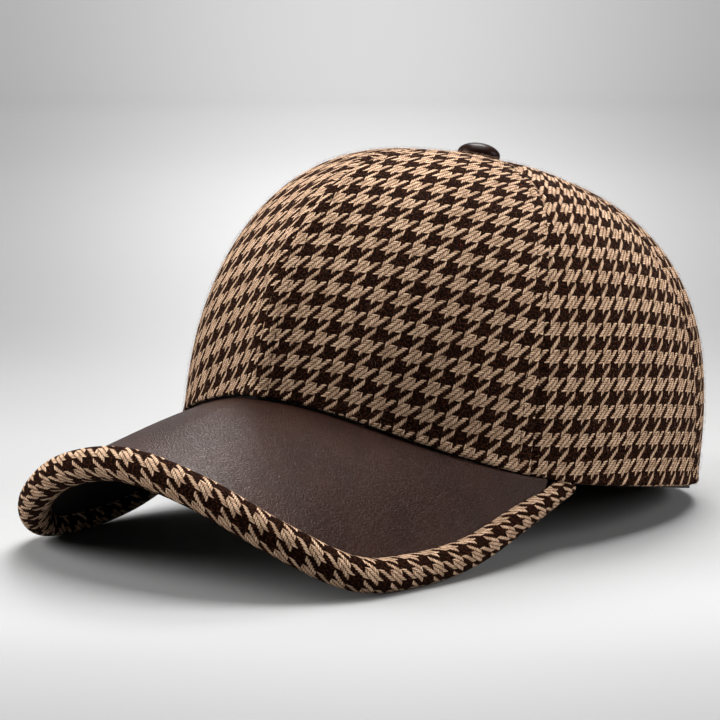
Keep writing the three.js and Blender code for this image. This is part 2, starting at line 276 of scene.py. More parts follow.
def tip_rise(turn):
    """The rise at which the cloth ends, round the hole for the button's shank."""
    edge = crown_point(turn, 0.0)
    tip = crown_point(turn, np.pi / 2)
    reach = TIP_HOLE / np.hypot(*(edge - tip)[..., :2].T).T
    return np.arccos(reach ** (around_crown(PROFILE_POWER, np.cos(turn)) / 2))


def seam_turn(seam, rise):
    return np.radians(seam["foot"] + seam["turn"] * np.sin(rise) ** 2)


def mesh_object(name, points, faces, layers, finish):
    """A mesh from points in mm and faces, with UV maps given per point."""
    mesh = bpy.data.meshes.new(name)
    mesh.from_pydata((np.asarray(points) * MM).tolist(), [], faces)
    corners = np.empty(len(mesh.loops), np.int32)
    mesh.loops.foreach_get("vertex_index", corners)
    for layer, values in layers.items():
        uv = mesh.uv_layers.new(name=layer)
        uv.data.foreach_set("uv", np.asarray(values, np.float32)[corners].ravel())
    mesh.polygons.foreach_set("use_smooth", [True] * len(mesh.polygons))
    mesh.materials.append(finish)
    mesh.validate()
    mesh.update()
    return place_mesh(name, mesh)


def place_mesh(name, mesh):
    obj = bpy.data.objects.new(name, mesh)
    bpy.context.scene.collection.objects.link(obj)
    return obj


def path_mesh(name, runs, measures):
    """Runs of points in mm joined by edges, with vectors or numbers kept at every point."""
    mesh = bpy.data.meshes.new(name)
    edges = []
    start = 0
    for run in runs:
        edges += [(start + step, start + step + 1) for step in range(len(run) - 1)]
        start += len(run)
    mesh.from_pydata((np.concatenate(runs) * MM).tolist(), edges, [])
    for key, values in measures.items():
        values = np.asarray(values, np.float32)
        kind, field = ("FLOAT_VECTOR", "vector") if values.ndim == 2 else ("FLOAT", "value")
        mesh.attributes.new(key, kind, "POINT").data.foreach_set(field, values.ravel())
    return place_mesh(name, mesh)


def grid_faces(rows, columns, ring, start=0, flip=False):
    """Quads over rows by columns of points; a ring joins its last column to its first."""
    faces = []
    last = columns if ring else columns - 1
    for row in range(rows - 1):
        for column in range(last):
            after = (column + 1) % columns
            quad = (start + row * columns + column, start + row * columns + after,
                    start + (row + 1) * columns + after, start + (row + 1) * columns + column)
            faces.append(quad[::-1] if flip else quad)
    return faces


def tube_wall(outer, inner, ring):
    """Points and faces of a closed wall between an outer and an inner grid of points, each
    with rows from the lower edge to the upper one."""
    rows, columns = outer.shape[:2]
    inner_rows = inner.shape[0]
    points = np.concatenate([outer.reshape(-1, 3), inner.reshape(-1, 3)])
    base = rows * columns
    faces = grid_faces(rows, columns, ring)
    faces += grid_faces(inner_rows, columns, ring, base, True)
    last = columns if ring else columns - 1
    top = (rows - 1) * columns
    inner_top = base + (inner_rows - 1) * columns
    for column in range(last):
        after = (column + 1) % columns
        faces.append((base + column, base + after, after, column))
        faces.append((top + column, top + after, inner_top + after, inner_top + column))
    if not ring:
        for column, flip in ((0, False), (columns - 1, True)):
            edge = [row * columns + column for row in range(rows)]
            edge += [base + row * columns + column for row in range(inner_rows)][::-1]
            faces.append(tuple(edge[::-1]) if flip else tuple(edge))
    return points, faces


def dress(obj, node):
    """Give a piece its body, and hide the solid that it stands for."""
    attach(obj, "root")
    if node:
        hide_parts(node)
    return obj


class Tree:
    """Short calls for building a shader or geometry node tree."""

    def __init__(self, tree):
        self.tree = tree
        self.column = 0

    def node(self, kind, inputs=(), **settings):
        made = self.tree.nodes.new(kind)
        made.location = (self.column * 30, 0)
        self.column += 1
        for key, value in settings.items():
            setattr(made, key, value)
        for key, value in dict(inputs).items():
            self.put(made.inputs[key], value)
        return made

    def put(self, socket, value):
        if isinstance(value, bpy.types.NodeSocket):
            self.tree.links.new(value, socket)
        else:
            socket.default_value = value

    def math(self, operation, *values):
        made = self.node("ShaderNodeMath", operation=operation)
        for socket, value in zip(made.inputs, values):
            self.put(socket, value)
        return made.outputs[0]

    def vector_math(self, operation, first, second):
        """Two vectors, or a vector and a number for SCALE."""
        made = self.node("ShaderNodeVectorMath", operation=operation)
        self.put(made.inputs[0], first)
        self.put(made.inputs["Scale" if operation == "SCALE" else 1], second)
        return made.outputs[0]

    def mix(self, share, low, high):
        made = self.node("ShaderNodeMix", data_type="RGBA", clamp_factor=True)
        self.put(made.inputs[0], share)
        self.put(made.inputs[6], low)
        self.put(made.inputs[7], high)
        return made.outputs[2]

    def lerp(self, share, low, high):
        return self.math("MULTIPLY_ADD", share, self.math("SUBTRACT", high, low), low)

    def ramp(self, value, low, high, to_low=0.0, to_high=1.0):
        made = self.node("ShaderNodeMapRange", clamp=True, interpolation_type="SMOOTHSTEP")
        for key, number in (("Value", value), ("From Min", low), ("From Max", high),
                            ("To Min", to_low), ("To Max", to_high)):
            self.put(made.inputs[key], number)
        return made.outputs[0]

    def vector(self, x=0.0, y=0.0, z=0.0):
        return self.node("ShaderNodeCombineXYZ", {0: x, 1: y, 2: z}).outputs[0]

    def split(self, vector):
        return self.node("ShaderNodeSeparateXYZ", {0: vector}).outputs

    def uv(self, layer):
        return self.node("ShaderNodeUVMap", uv_map=layer).outputs[0]

    def place(self):
        return self.node("ShaderNodeTexCoord").outputs["Object"]

    def noise(self, vector, scale, detail=2.0, roughness=0.5, output=0):
        made = self.node("ShaderNodeTexNoise", {"Vector": vector, "Scale": scale,
                                                "Detail": detail, "Roughness": roughness})
        return made.outputs[output]

    def random(self, *values):
        return self.node("ShaderNodeTexWhiteNoise", {"Vector": self.vector(*values)}).outputs[0]

    def bump(self, height, strength, depth):
        return self.node("ShaderNodeBump", {"Strength": strength, "Distance": depth * MM,
                                            "Height": height}).outputs[0]

    def kept(self, key, kind="FLOAT"):
        return self.node("GeometryNodeInputNamedAttribute", {"Name": key},
                         data_type=kind).outputs[0]


def finish_material(name, build, **sockets):
    """A material on one Principled shader; build links what varies over the surface."""
    made = bpy.data.materials.new(name)
    made.use_nodes = True
    shader = made.node_tree.nodes["Principled BSDF"]
    for key, value in sockets.items():
        shader.inputs[key.replace("_", " ")].default_value = value
    build(Tree(made.node_tree), shader.inputs)
    return made


SOCKETS = {float: "NodeSocketFloat", int: "NodeSocketInt",
           bpy.types.Material: "NodeSocketMaterial"}


def grown_mesh(name, base, build, sizes):
    """Run a Geometry Nodes tree with named inputs on a base object, and keep its result as a
    plain mesh. The base goes."""
    group = bpy.data.node_groups.new(name, "GeometryNodeTree")
    group.interface.new_socket("Geometry", in_out="INPUT", socket_type="NodeSocketGeometry")
    group.interface.new_socket("Geometry", in_out="OUTPUT", socket_type="NodeSocketGeometry")
    modifier = base.modifiers.new(name, "NODES")
    for key, value in sizes.items():
        socket = group.interface.new_socket(key, in_out="INPUT", socket_type=SOCKETS[type(value)])
        sizes[key] = (socket.identifier, value)
    t = Tree(group)
    build(t, t.node("NodeGroupInput").outputs, t.node("NodeGroupOutput").inputs)
    modifier.node_group = group
    for identifier, value in sizes.values():
        modifier[identifier] = value
    bpy.context.view_layer.update()
    graph = bpy.context.evaluated_depsgraph_get()
    mesh = bpy.data.meshes.new_from_object(base.evaluated_get(graph), depsgraph=graph)
    mesh.name = name
    base.modifiers.clear()
    bpy.data.objects.remove(base)
    return place_mesh(name, mesh)


def end_tree(t, given, result, geometry, soft):
    """End a geometry tree with real meshes, smooth or flat, in the given material."""
    solid = t.node("GeometryNodeRealizeInstances", {0: geometry}).outputs[0]
    if soft:
        solid = t.node("GeometryNodeSetShadeSmooth", {"Geometry": solid}).outputs[0]
    t.put(result[0], t.node("GeometryNodeSetMaterial",
                            {"Geometry": solid, "Material": given["Material"]}).outputs[0])


# The cloth is a three-and-three twill in sixes of light and dark yarn. Sizes are in threads
# and noise scales in repeats: how far the threads wander, the stroke that shows of each
# thread, the turns of its plies, the dark yarn's hair and its few red fibres. The strokes fade
# to painted shade at their edges and in the gaps between threads.
THREADS = 12
TWILL = 6.0
FLOAT = 3.0
STAR_START = 0.33
SLOW_WANDER = {"scale": 1.3, "size": 1.0}
FINE_WANDER = {"scale": 21.0, "size": 0.32}
STROKE = {"tilt": 0.13, "half_length": 1.95, "half_width": 0.50}
PLY = {"run": 0.9, "beside": 1.6, "turns": 2.6, "stretch": 0.7, "apart": 7.31, "scale": 1.3,
       "share": 0.4, "relief": 0.14}
HAIR = {"scale": 11.0, "bare": 0.45, "full": 0.68, "dark_relief": 0.5, "light_relief": 0.16}
FLECK = {"scale": 3.1, "none": 0.735, "full": 0.765, "strength": 0.7}
# Painted shade: the colours that light and dark threads fade to at their edges and in the gaps
# between them
PALE_GAP_SHADE = (0.045, 0.022, 0.012, 1)
DARK_GAP_SHADE = (0.004, 0.002, 0.0015, 1)
RED_FIBRE = (0.16, 0.030, 0.016, 1)
LIGHT_YARN = ((0.25, 0.146, 0.086, 1), (0.72, 0.495, 0.335, 1))
DARK_YARN = ((0.0030, 0.0010, 0.0005, 1), (0.058, 0.0185, 0.0085, 1))
CLOTH_RELIEF = 0.30


def houndstooth(light, dark, relief):
    """The map called check counts repeats, across in u and down in v, with a whole number at
    the middle of each light star."""

    def build(t, shader):
        check = t.uv("check")
        u, v, _ = t.split(check)
        slow_u, slow_v, _ = t.split(t.noise(check, SLOW_WANDER["scale"], 1.0, 0.5, 1))
        fine_u, fine_v, _ = t.split(t.noise(check, FINE_WANDER["scale"], 2.0, 0.6, 1))
        mean_wander = (SLOW_WANDER["size"] + FINE_WANDER["size"]) / 2

        def counted(place, slow, fine, start):
            count = t.math("MULTIPLY_ADD", place, float(THREADS), start - mean_wander)
            return t.math("ADD", t.math("MULTIPLY_ADD", slow, SLOW_WANDER["size"], count),
                          t.math("MULTIPLY", fine, FINE_WANDER["size"]))

        a = counted(u, slow_u, fine_u, 0.0)
        b = counted(v, slow_v, fine_v, STAR_START)
        i = t.math("FLOOR", a)
        j = t.math("FLOOR", b)
        line = t.math("FLOORED_MODULO", t.math("ADD", t.math("ADD", i, j), 1.0), TWILL)
        warp_up = t.math("LESS_THAN", line, FLOAT)
        warp_run = t.math("ADD", t.math("ADD", i, b), 1.0)
        weft_run = t.math("ADD", t.math("ADD", a, j), -2.0)
        run = t.lerp(warp_up, weft_run, warp_run)
        along = t.math("SUBTRACT", t.math("FLOORED_MODULO", run, TWILL), FLOAT / 2)
        beside = t.lerp(warp_up, t.math("FRACT", b), t.math("FRACT", a))
        beside = t.math("MULTIPLY_ADD", along, STROKE["tilt"],
                        t.math("SUBTRACT", beside, 0.5))
        yarn = t.lerp(warp_up, j, i)
        lengthwise = t.math("POWER", t.math("DIVIDE", along, STROKE["half_length"]), 2.0)
        sideways = t.math("POWER", t.math("DIVIDE", beside, STROKE["half_width"]), 2.0)
        full = t.math("SUBTRACT", 1.0, t.math("ADD", lengthwise, sideways))
        stroke = t.math("SQRT", t.math("MAXIMUM", full, 0.0))
        is_light = t.math("LESS_THAN", t.math("FLOORED_MODULO", t.math("ADD", yarn, FLOAT),
                                              float(THREADS)), THREADS / 2)

        twist = t.math("MULTIPLY_ADD", run, PLY["run"],
                       t.math("MULTIPLY", beside, PLY["beside"]))
        ply_at = t.vector(t.math("MULTIPLY", twist, PLY["turns"]),
                          t.math("MULTIPLY", run, PLY["stretch"]),
                          t.math("MULTIPLY", yarn, PLY["apart"]))
        ply = t.ramp(t.noise(ply_at, PLY["scale"], 3.0, 0.6), 0.30, 0.70)
        own = t.random(yarn, warp_up, t.math("FLOOR", t.math("DIVIDE", run, TWILL)))
        hair = t.ramp(t.noise(check, HAIR["scale"], 3.0, 0.7), HAIR["bare"], HAIR["full"])

        tone = t.math("ADD", t.math("MULTIPLY", ply, PLY["share"]),
                      t.math("MULTIPLY", own, 1 - PLY["share"]))
        # The strokes' edges and the gaps between threads are painted darker, as shade
        pale = t.mix(t.ramp(stroke, 0.24, 0.92), PALE_GAP_SHADE, t.mix(tone, *light))
        deep = t.mix(t.ramp(stroke, 0.0, 0.8, 0.35, 1.0), DARK_GAP_SHADE, t.mix(hair, *dark))
        fleck = t.ramp(t.noise(check, FLECK["scale"], 2.0, 0.5), FLECK["none"], FLECK["full"])
        deep = t.mix(t.math("MULTIPLY", fleck, FLECK["strength"]), deep, RED_FIBRE)
        t.put(shader["Base Color"], t.mix(is_light, deep, pale))

        shagginess = t.lerp(is_light, HAIR["dark_relief"], HAIR["light_relief"])
        height = t.math("MULTIPLY_ADD", hair, shagginess,
                        t.math("MULTIPLY_ADD", ply, PLY["relief"], stroke))
        t.put(shader["Normal"], t.bump(height, 1.0, relief))
    return build


# Finishes on a map in mm: the tones of each, from dark to light, and the grain's sizes
LEATHER_TONES = ((0.0135, 0.0046, 0.0029, 1), (0.0195, 0.0066, 0.0041, 1))
# Painted shade laid into the leather's grain creases
LEATHER_CREASE_SHADE = (0.0060, 0.0021, 0.0014, 1)
LEATHER_GRAIN = {"pull": 0.62, "crease": 1.35, "fine": 1.9, "mottle": 0.045}
LEATHER_ROUGHNESS = (0.33, 0.45)
LINING_TONES = ((0.004, 0.003, 0.003, 1), (0.014, 0.009, 0.007, 1))
LINING_NAP = 2.4
# The band's tones follow its ribs: darker in the grooves, as painted shade
BAND_TONES = ((0.003, 0.0025, 0.0025, 1), (0.010, 0.008, 0.008, 1))
BAND_RIB = 0.9
BAND_THREAD = 0.45

# Finishes on object coordinates, in metres
BUTTON_TONES = ((0.006, 0.0028, 0.0022, 1), (0.016, 0.007, 0.005, 1))
BUTTON_CLOUD = 260.0
BUTTON_ROUGHNESS = (0.26, 0.36)
THREAD_TONES = ((0.003, 0.0013, 0.0008, 1), (0.015, 0.0065, 0.0040, 1))
THREAD_NOISE = 2500.0
FIBRE_TONES = ((0.060, 0.026, 0.016, 1), (0.30, 0.17, 0.11, 1))
FIBRE_NOISE = 700.0


def leather_finish(t, shader):
    """Fine-grained leather: small creases run across the visor, over soft mottling. The
    creases are painted darker, as shade.
    """
    x, y, _ = t.split(t.uv("grain"))
    pulled = t.vector(t.math("MULTIPLY", x, LEATHER_GRAIN["pull"]), y)
    crease = t.node("ShaderNodeTexVoronoi",
                    {"Vector": pulled, "Scale": LEATHER_GRAIN["crease"], "Randomness": 1.0},
                    feature="DISTANCE_TO_EDGE").outputs[0]
    fine = t.noise(pulled, LEATHER_GRAIN["fine"], 4.0, 0.62)
    broad = t.noise(t.uv("grain"), LEATHER_GRAIN["mottle"], 3.0, 0.5)
    height = t.math("MULTIPLY_ADD", t.ramp(crease, 0.0, 0.22), 0.5, fine)
    t.put(shader["Normal"], t.bump(height, 0.8, 0.22))
    tone = t.mix(t.ramp(broad, 0.35, 0.65), *LEATHER_TONES)
    # The creases darken the colour: painted shade
    t.put(shader["Base Color"],
          t.mix(t.ramp(crease, 0.0, 0.12, 0.65, 1.0), LEATHER_CREASE_SHADE, tone))
    t.put(shader["Roughness"], t.ramp(fine, 0.3, 0.7, *LEATHER_ROUGHNESS))


def lining_finish(t, shader):
    """Matt near-black cloth with a short nap."""
    nap = t.noise(t.uv("grain"), LINING_NAP, 4.0, 0.65)
    t.put(shader["Base Color"], t.mix(nap, *LINING_TONES))
    t.put(shader["Normal"], t.bump(nap, 0.5, 0.2))


def band_finish(t, shader):
    """Ribbed band: ribs run round the head, crossed by fine threads. The grooves between
    ribs are painted darker, as shade.
    """
    x, y, _ = t.split(t.uv("grain"))
    rib = t.math("SINE", t.math("MULTIPLY", y, 2 * math.pi / BAND_RIB))
    thread = t.math("SINE", t.math("MULTIPLY", x, 2 * math.pi / BAND_THREAD))
    weave = t.math("MULTIPLY_ADD", thread, 0.3, rib)
    t.put(shader["Normal"], t.bump(weave, 0.6, 0.12))
    # Painted shade: the colour darkens where the ribs dip
    t.put(shader["Base Color"], t.mix(t.ramp(weave, -1.0, 1.0), *BAND_TONES))


def button_finish(t, shader):
    cloud = t.noise(t.place(), BUTTON_CLOUD, 3.0, 0.5)
    t.put(shader["Base Color"], t.mix(cloud, *BUTTON_TONES))
    t.put(shader["Roughness"], t.ramp(cloud, 0.3, 0.7, *BUTTON_ROUGHNESS))


def thread_finish(t, shader):
    t.put(shader["Base Color"], t.mix(t.noise(t.place(), THREAD_NOISE), *THREAD_TONES))


def fibre_finish(t, shader):
    tone = t.ramp(t.noise(t.place(), FIBRE_NOISE), 0.4, 0.62)
    t.put(shader["Base Color"], t.mix(tone, *FIBRE_TONES))


WOOL = {"Roughness": 1.0, "Sheen_Weight": 0.008, "Sheen_Roughness": 0.5,
        "Sheen_Tint": (0.9, 0.6, 0.42, 1), "Specular_IOR_Level": 0.02}
woven = houndstooth(LIGHT_YARN, DARK_YARN, CLOTH_RELIEF)
cloth = finish_material("houndstooth_cloth", woven, **WOOL)
edge_cloth = finish_material("houndstooth_binding", woven, **WOOL)
leather = finish_material("visor_leather", leather_finish, Specular_IOR_Level=0.10,
                         Specular_Tint=(1.0, 0.72, 0.62, 1))
lining = finish_material("visor_lining", lining_finish, Roughness=0.85, Specular_IOR_Level=0.2)
band_cloth = finish_material("band_lining", band_finish, Roughness=0.8, Specular_IOR_Level=0.25)
gloss = finish_material("button_gloss", button_finish, Specular_IOR_Level=0.02,
                        Coat_Weight=0.01, Coat_Roughness=0.1)
sewing_thread = finish_material("sewing_thread", thread_finish, Roughness=1.0,
                                Specular_IOR_Level=0.0)
wool_fibre = finish_material("wool_fibre", fibre_finish, Roughness=0.8, Specular_IOR_Level=0.3)


def panel_columns():
    """Shares across a panel, closer together near its seams."""
    share = np.linspace(0, 1, PANEL_COLUMNS + 1)
    return blend(share, (1 - np.cos(np.pi * share)) / 2, COLUMN_CROWDING)


def panel_grid(panel, share, depth, drop):
    """Points of a panel at rows of share up, depth under its face and drop under its edge,
    their place in the houndstooth, the way across and their normals."""
    _, start, end, lay, stitched = panel
    across = panel_columns()[None, :]
    share = np.asarray(share, float)[:, None]
    depth = np.asarray(depth, float)[:, None]
    drop = np.asarray(drop, float)[:, None]
    middle = (seam_turn(start, 1) + seam_turn(end, 1)) / 2
    free = rise_at(share)
    turn = blend(seam_turn(start, free), seam_turn(end, free), across)
    rise = np.minimum(free, tip_rise(np.where(share > FADE["trim"], turn, middle)))
    point = crown_point(turn, rise)
    normal = crown_normal(turn, rise)
    climbed = np.linalg.norm(np.diff(point[:, PANEL_COLUMNS // 2], axis=0), axis=1)
    y = np.concatenate([[0], np.cumsum(climbed)])[:, None] - drop
    steps = np.linalg.norm(np.diff(point, axis=1), axis=2)
    reach = np.concatenate([np.zeros((len(share), 1)), np.cumsum(steps, axis=1)], axis=1)
    from_seam = np.minimum(reach, reach[:, -1:] - reach)
    body = blend(PANEL_SWELL["foot"], PANEL_SWELL["middle"], smooth(share, 0, FADE["foot"]))
    swell = (body * np.sin(np.pi * across) - SEAM_DIP) * smooth(1 - share, 0, FADE["tip"])
    sunk = SEAM_ROLL["depth"] * np.exp(-(from_seam / SEAM_ROLL["width"]) ** 2)
    if stitched:
        away = (from_seam - STITCH_AWAY) / STITCH_GROOVE["width"]
        sunk = sunk + STITCH_GROOVE["depth"] * np.exp(-away ** 2)
    hem = HEM_ROLL * (1 - smooth(share, 0, FADE["hem"]))
    lift = swell - sunk * smooth(1 - share, 0, FADE["seam"]) + hem - depth
    point = point + normal * lift[..., None]
    point = point + crown_across(turn, rise) * (OPEN_SEAM * (1 - 2 * across))[..., None]
    point = point + edge_down(turn) * drop[..., None]

    x = reach - reach[:, PANEL_COLUMNS // 2][:, None]
    terms = (1, x, y, x ** 2, y ** 2)
    check = [sum(number * term for number, term in zip(lay[axis], terms)) for axis in "uv"]
    return point, np.stack(np.broadcast_arrays(*check), -1), reach, normal


def build_panel(name, panel, hand):
    """A panel's wall of cloth, worked out on the right and mirrored for the left. Its hem is
    round, and its inner face starts one step into the hem."""
    share = np.linspace(0, 1, PANEL_ROWS + 1) ** ROW_CROWDING
    share = np.concatenate([np.full(HEM_STEPS, 0.0), blend(HEM_TOP, 1.0, share[1:])])
    lip = np.radians(np.linspace(0, 90, HEM_STEPS))
    rest = np.zeros(PANEL_ROWS)
    outer_depth = np.concatenate([HEM_RADIUS * (1 - np.sin(lip)), rest])
    outer_drop = np.concatenate([HEM_RADIUS * (np.cos(lip) - 1), rest])
    inner_depth = np.concatenate([HEM_RADIUS * (1 + np.sin(lip[1:])), rest + CLOTH])
    inner_drop = np.concatenate([HEM_RADIUS * (np.cos(lip[1:]) - 1), rest])
    outer, check, reach, normal = panel_grid(panel, share, outer_depth, outer_drop)
    inner, inner_check, _, _ = panel_grid(panel, share[1:], inner_depth, inner_drop)
    points, faces = tube_wall(outer, inner, False)
    maps = np.concatenate([check.reshape(-1, 2), inner_check.reshape(-1, 2)])
    if hand < 0:
        faces = [face[::-1] for face in faces]
    made = mesh_object(name, points * (hand, 1, 1), faces, {"check": maps * (hand, 1)}, cloth)
    face_out = np.zeros(len(points), np.float32)
    face_out[:outer.shape[0] * outer.shape[1]] = 1
    made.data.attributes.new("face_out", "FLOAT", "POINT").data.foreach_set("value", face_out)
    if panel[-1]:
        seam_lines(outer, reach, normal, hand)
    return made


stitch_runs = []
stitch_normals = []


def seam_lines(outer, reach, normal, hand):
    """The two lines of topstitching on a panel, one beside each of its seams."""
    rows = [row for row in range(HEM_STEPS + 2, len(outer))
            if reach[row, -1] > STITCH_ROOM * STITCH_AWAY]
    for side in (0, 1):
        line = []
        out = []
        for row in rows:
            at = reach[row, -1] - STITCH_AWAY if side else STITCH_AWAY
            line.append([np.interp(at, reach[row], outer[row, :, axis]) for axis in range(3)])
            out.append([np.interp(at, reach[row], normal[row, :, axis]) for axis in range(3)])
        stitch_runs.append(np.array(line) * (hand, 1, 1))
        stitch_normals.append(np.array(out) * (hand, 1, 1))


panels = []
for place, start, end, stitched in (("front", FRONT_SEAM, SIDE_SEAM, True),
                                    ("side", SIDE_SEAM, BACK_SEAM, False),
                                    ("back", BACK_SEAM, REAR_SEAM, True)):
    for hand, side in ((1, "right"), (-1, "left")):
        panel = (place, start, end, CHECK_LAY[f"{place}_{side}"], stitched)
        made = build_panel(f"{place}_panel_{side}", panel, hand)
        panels.append(dress(made, f"crown_panel_{place}_{side}"))


def stitch_tree(t, given, result):
    """A row of stitches along each line: rounded beads of thread, sunk a little at their ends."""
    line = t.node("GeometryNodeMeshToCurve", {"Mesh": given["Geometry"]}).outputs[0]
    line = t.node("GeometryNodeResampleCurve", {"Curve": line, "Length": given["Pitch"]},
                  mode="LENGTH").outputs[0]
    turned = t.node("FunctionNodeAxesToRotation",
                    {0: t.kept("out", "FLOAT_VECTOR"),
                     1: t.node("GeometryNodeInputTangent").outputs[0]},
                    primary_axis="Z", secondary_axis="X").outputs[0]
    bead = t.node("GeometryNodeMeshUVSphere", {"Segments": 6, "Rings": 5, "Radius": 0.5})
    size = t.vector(given["Length"], given["Thickness"], given["Thickness"])
    beads = t.node("GeometryNodeInstanceOnPoints",
                   {"Points": line, "Instance": bead.outputs[0], "Rotation": turned,
                    "Scale": size}).outputs[0]
    end_tree(t, given, result, beads, True)


stitch_base = path_mesh("stitch_lines", stitch_runs, {"out": np.concatenate(stitch_normals)})
dress(grown_mesh("topstitching", stitch_base, stitch_tree,
                 {"Pitch": STITCH["pitch"] * MM, "Length": STITCH["length"] * MM,
                  "Thickness": STITCH["thickness"] * MM, "Material": sewing_thread}),
      None)


def band_drop(turn):
    away = np.abs(turn)
    ahead = blend(BAND_DROP["front"], BAND_DROP["side"], smooth(away, 0, VISOR_SPAN))
    return blend(ahead, BAND_DROP["back"], smooth(away, VISOR_SPAN * BAND_PAST_VISOR, np.pi))


def build_band():
    """The inner band, under the crown's cloth, cut level where the cap rests."""
    turn = np.linspace(-np.pi, np.pi, BAND_COLUMNS, endpoint=False)[None, :]
    share = np.linspace(0, 1, BAND_ROWS)[:, None]
    height = blend(-band_drop(turn), BAND_HEIGHT, share)
    rise = rise_at_height(turn, height)
    base = crown_point(turn, rise) + edge_down(turn) * np.maximum(-height, 0)[..., None]
    normal = crown_normal(turn + 0 * rise, rise)
    face = CLOTH + SEAM_DIP + CLEARANCE
    walls = []
    for depth in (face, face + BAND_THICKNESS):
        wall = base - normal * depth
        wall[..., 2] = np.maximum(wall[..., 2], 0)
        walls.append(wall)
    points, faces = tube_wall(*walls, True)
    around = np.linalg.norm(np.diff(walls[0], axis=1, append=walls[0][:, :1]), axis=2)
    grain = np.stack([np.cumsum(around, axis=1), height + 0 * around], -1).reshape(-1, 2)
    return mesh_object("inner_band", points, faces, {"grain": np.concatenate([grain, grain])},
                       band_cloth)


dress(build_band(), "sweatband")


def catmull_rom(knots, share):
    """A uniform Catmull-Rom curve through knots, at shares from 0 to 1."""
    knots = np.asarray(knots, float)
    knots = np.concatenate([[2 * knots[0] - knots[1]], knots, [2 * knots[-1] - knots[-2]]])
    place = np.clip(np.asarray(share, float), 0, 1) * (len(knots) - 3)
    first = np.minimum(place.astype(int), len(knots) - 4)
    t = (place - first)[..., None]
    a, b, c, d = (knots[first + step] for step in range(4))
    return b + t * (0.5 * (c - a) + t * (a - 2.5 * b + 2 * c - 0.5 * d
                                         + t * (1.5 * (b - c) + 0.5 * (d - a))))


EDGE_KNOTS = [(-x, y, z) for x, y, z in VISOR_EDGE[:0:-1]] + VISOR_EDGE


def edge_point(side):
    return catmull_rom(EDGE_KNOTS, (np.asarray(side, float) + 1) / 2)


def edge_tangent(side):
    step = 1e-3
    return unit(edge_point(np.minimum(side + step, 1)) - edge_point(np.maximum(side - step, -1)))


def junction_point(side):
    """Where the visor's leather goes in under the crown's edge."""
    turn = side * VISOR_SPAN
    sideways = side * side
    inset = blend(SHEET_INSET["front"], SHEET_INSET["side"], sideways)[..., None]
    drop = blend(SHEET_DROP["front"], SHEET_DROP["side"], sideways)[..., None]
    foot = np.zeros_like(turn)
    return crown_point(turn, foot) - crown_normal(turn, foot) * inset + edge_down(turn) * drop


def turned_frame(side, toward):
    """Across the edge toward a direction, and up from the visor."""
    tangent = edge_tangent(side)
    inward = unit(toward - tangent * np.sum(toward * tangent, axis=-1, keepdims=True))
    return inward, np.cross(tangent, inward)


def edge_frame(side):
    """Where the visor's middle sheet starts under the crown, with the edge's frame. Past the
    leather's end it keeps the end's."""
    held = np.clip(side, -SHEET_END["cover"], SHEET_END["cover"])
    edge = edge_point(held)
    middle = junction_point(held)
    _, up = turned_frame(held, middle - edge)
    middle = middle - up * (SHEETS / 2)
    inward, up = turned_frame(side, middle - edge)
    return middle, inward, up


# Scales the bow's curve, share * (1 - share) ** 2, to a greatest height of 1
BOW_SCALE = 6.75


def visor_point(side, share, depth):
    side, share, depth = np.broadcast_arrays(side, share, depth)
    middle, _, up = edge_frame(side)
    edge = edge_point(side)
    length = np.linalg.norm(middle - edge, axis=-1)
    bow = VISOR_BOW * length * BOW_SCALE * share * (1 - share) ** 2
    return blend(middle, edge, share[..., None]) + up * (SHEETS / 2 + bow - depth)[..., None]


def build_sheet(name, top, bottom, end, finish):
    """A sheet of the visor between two depths, with its map in mm from the crown's edge."""
    side = np.linspace(end, -end, SHEET_COLUMNS)[None, :]
    share = np.linspace(0, 1, SHEET_ROWS)[:, None]
    upper = visor_point(side, share, top)
    lower = visor_point(side, share, bottom)
    points, faces = tube_wall(upper, lower, False)
    across = np.linalg.norm(np.diff(upper[SHEET_ROWS * 2 // 3], axis=0), axis=1)
    x = np.concatenate([[0], np.cumsum(across)])[None, :] + 0 * share
    grain = np.stack([x, np.linalg.norm(upper - upper[:1], axis=2)], -1).reshape(-1, 2)
    return mesh_object(name, points, faces, {"grain": np.concatenate([grain, grain])}, finish)


dress(build_sheet("leather_visor_cover", 0.0, LEATHER, SHEET_END["cover"], leather),
      "visor_cover")
dress(build_sheet("visor_lining_board", LEATHER + CLEARANCE, SHEETS, SHEET_END["underside"],
                  lining), "visor_underside")


def edge_path():
    """The middle line of the rolled edge, with its frame, its radius and the way along it."""
    side = np.linspace(-1, 1, ROLL_STEPS)
    narrow = smooth(np.abs(side), ROLL_NARROWS_FROM, 1)
    radius = blend(ROLL_RADIUS["front"], ROLL_RADIUS["end"], narrow)
    _, inward, up = edge_frame(side)
    centre = edge_point(side)
    steps = np.linalg.norm(np.diff(centre, axis=0), axis=1)
    along = np.concatenate([[0], np.cumsum(steps)])
    return path_mesh("edge_line", [centre], {
        "centre": centre * MM, "inward": inward, "up": up, "radius_here": radius * MM,
        "way_along": along - along[len(along) // 2]})


